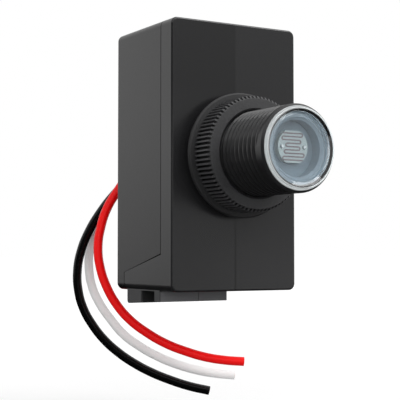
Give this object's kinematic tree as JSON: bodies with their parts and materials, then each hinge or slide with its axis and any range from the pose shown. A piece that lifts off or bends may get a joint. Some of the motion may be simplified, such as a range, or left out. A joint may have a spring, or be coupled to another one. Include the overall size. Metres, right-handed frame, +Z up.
{
  "type": "photocell switch",
  "caption": "Box-shaped photocell light switch with a threaded sensor stem, clear lens, knurled lock nut, rubber washer and coloured lead wires.",
  "frame": {"origin": "centre of the box's front face, on the stem's axis", "axes": "-Y along the stem, out of the front face; +Z up the box; +X to the right seen from the front"},
  "size_m": [0.0348, 0.0665, 0.0788],
  "materials": {
    "front_shell": "moulded, polished face",
    "rear_shell": "moulded, fine satin grain",
    "clear_lens": "clear, polished",
    "grey_cup": "moulded, satin",
    "cell_ceramic": "coated ceramic",
    "sensing_track": "printed film",
    "tinned_leads": "tinned",
    "nut_plastic": "moulded, knurled",
    "washer_rubber": "moulded",
    "board_laminate": "solder mask",
    "relay_case": "moulded",
    "film_case": "potted case",
    "can_sleeve": "shrunk sleeve",
    "varistor_coat": "dipped coat",
    "bridge_case": "moulded",
    "transistor_case": "moulded",
    "resistor_coat": "dipped coat",
    "diode_case": "moulded",
    "solder": "bright solder",
    "grommet_rubber": "moulded",
    "red_insulation": "extruded",
    "white_insulation": "extruded",
    "black_insulation": "extruded"
  },
  "bodies": {
    "housing": {"front_housing": "front_shell", "rear_cover": "rear_shell", "lens": "clear_lens", "cell_holder": "grey_cup", "photocell": "cell_ceramic", "cell_track": "sensing_track", "cell_leads": "tinned_leads", "circuit_board": "board_laminate", "relay_block": "relay_case", "film_capacitor": "film_case", "electrolytic_capacitor": "can_sleeve", "varistor": "varistor_coat", "bridge_rectifier": "bridge_case", "transistor": "transistor_case", "resistors": "resistor_coat", "diodes": "diode_case", "solder_joints": "solder", "wire_grommet": "grommet_rubber", "red_wire": "red_insulation", "white_wire": "white_insulation", "black_wire": "black_insulation"},
    "washer": {"sealing_washer": "washer_rubber"},
    "nut": {"lock_nut": "nut_plastic"}
  },
  "joints": [
    {"name": "washer_slide", "type": "slide", "parent": "housing", "child": "washer", "axis": [0, -1, 0], "range_m": [-0.0019, 0.01415]},
    {"name": "nut_turn", "type": "hinge", "parent": "washer", "child": "nut", "pos_m": [0, -0.0032, 0], "axis": [0, -1, 0], "range_deg": [-480, 3600]}
  ],
  "couplings": [
    {"joint": "washer_slide", "follows": "nut_turn", "m_per_rad": 0.00022457}
  ]
}
